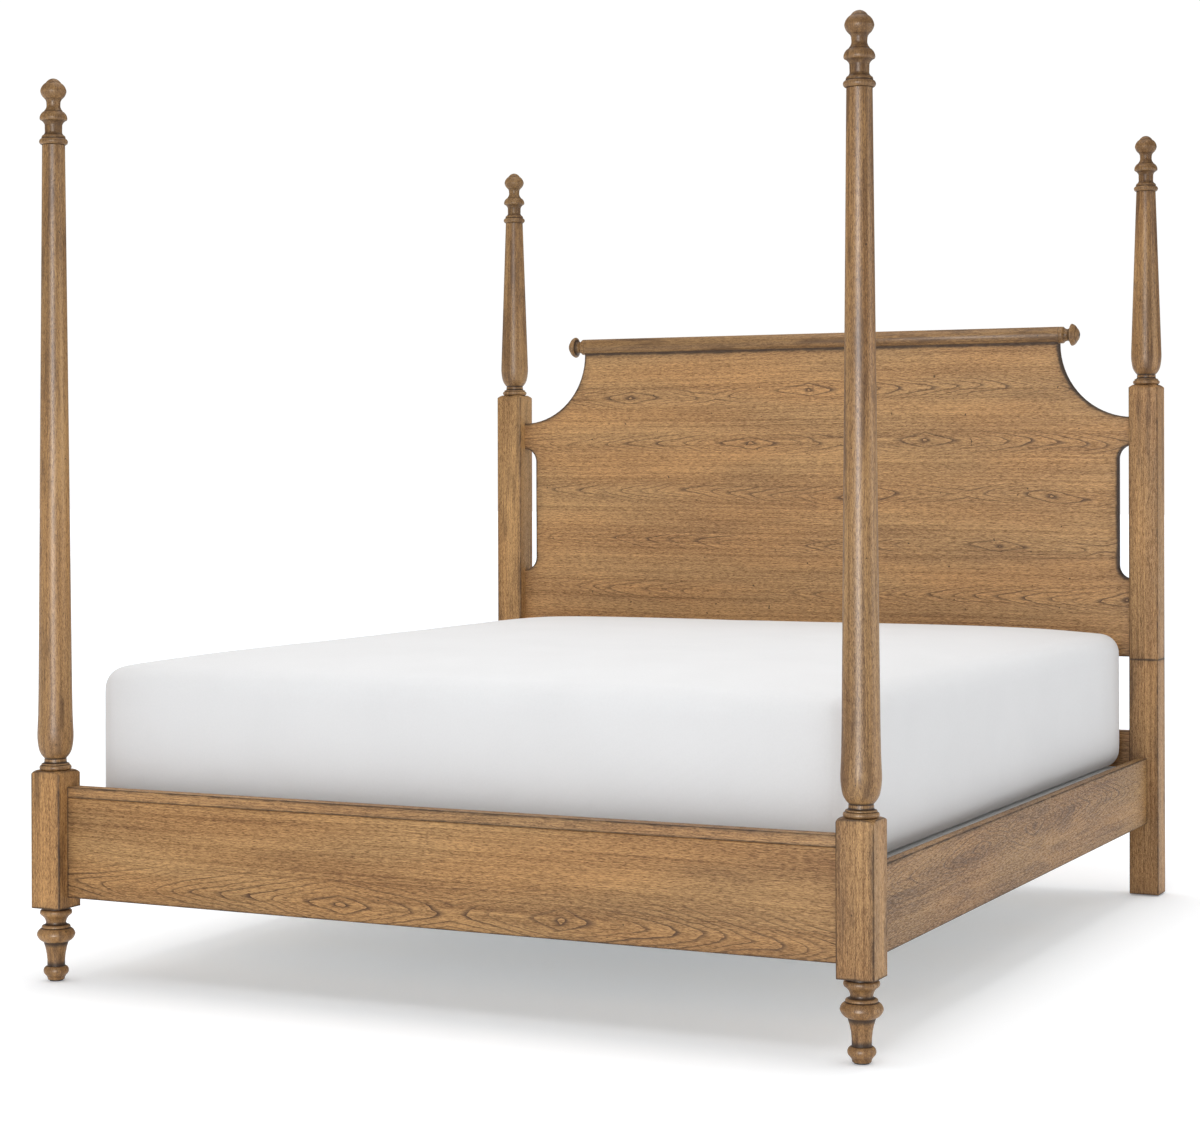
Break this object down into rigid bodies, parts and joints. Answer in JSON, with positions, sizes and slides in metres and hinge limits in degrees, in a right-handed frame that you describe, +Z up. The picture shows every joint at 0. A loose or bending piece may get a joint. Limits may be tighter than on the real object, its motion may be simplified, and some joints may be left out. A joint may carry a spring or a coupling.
{
  "type": "poster bed",
  "caption": "Wooden poster bed with turned posts and ball finials, a slotted panel headboard under a round top roll, a plain footboard, slats and a mattress.",
  "frame": {"origin": "on the floor, under the middle of the bed's outline", "axes": "+Z up, +X to the right as seen from the foot end, +Y from the foot end to the headboard"},
  "size_m": [2.0156, 2.3078, 2.048],
  "materials": {
    "stained_wood": "satin, dark wiped glaze",
    "plain_pine": "unfinished",
    "steel": "zinc plated",
    "brass": "plain",
    "glide_plastic": "matt",
    "foundation_cloth": "woven",
    "mattress_cloth": "soft knit"
  },
  "bodies": {
    "bed_frame": {"finials": "stained_wood", "floor_glides": "glide_plastic", "footboard_cap": "stained_wood", "footboard_rail": "stained_wood", "front_block_left": "stained_wood", "front_block_right": "stained_wood", "front_feet": "stained_wood", "front_shaft_left": "stained_wood", "front_shaft_right": "stained_wood", "headboard_lower_rail": "stained_wood", "headboard_panel": "stained_wood", "headboard_roll": "stained_wood", "leveller_inserts": "brass", "post_slot_plates": "steel", "rail_hook_plates": "steel", "rear_leg_left": "stained_wood", "rear_leg_right": "stained_wood", "rear_post_left": "stained_wood", "rear_post_right": "stained_wood", "roll_knobs": "stained_wood", "side_rail_left": "stained_wood", "side_rail_right": "stained_wood", "slat_1": "plain_pine", "slat_2": "plain_pine", "slat_4": "plain_pine", "slat_5": "plain_pine", "slat_ledger_left": "plain_pine", "slat_ledger_right": "plain_pine", "support_leg_bolts": "steel", "support_leg_centre": "plain_pine", "support_leg_left": "plain_pine", "support_leg_right": "plain_pine", "support_slat": "plain_pine"},
    "foundation": {"foundation": "foundation_cloth"},
    "mattress": {"mattress": "mattress_cloth"},
    "leveller_left": {"leveller_left": "glide_plastic"},
    "leveller_centre": {"leveller_centre": "glide_plastic"},
    "leveller_right": {"leveller_right": "glide_plastic"}
  },
  "joints": [
    {"name": "foundation_lift", "type": "slide", "parent": "bed_frame", "child": "foundation", "axis": [0, 0, 1], "range_m": [0, 0.25]},
    {"name": "mattress_lift", "type": "slide", "parent": "foundation", "child": "mattress", "axis": [0, 0, 1], "range_m": [0, 0.45]},
    {"name": "leveller_left_screw", "type": "slide", "parent": "bed_frame", "child": "leveller_left", "axis": [0, 0, 1], "range_m": [-0.015, 0.015]},
    {"name": "leveller_centre_screw", "type": "slide", "parent": "bed_frame", "child": "leveller_centre", "axis": [0, 0, 1], "range_m": [-0.015, 0.015]},
    {"name": "leveller_right_screw", "type": "slide", "parent": "bed_frame", "child": "leveller_right", "axis": [0, 0, 1], "range_m": [-0.015, 0.015]}
  ]
}
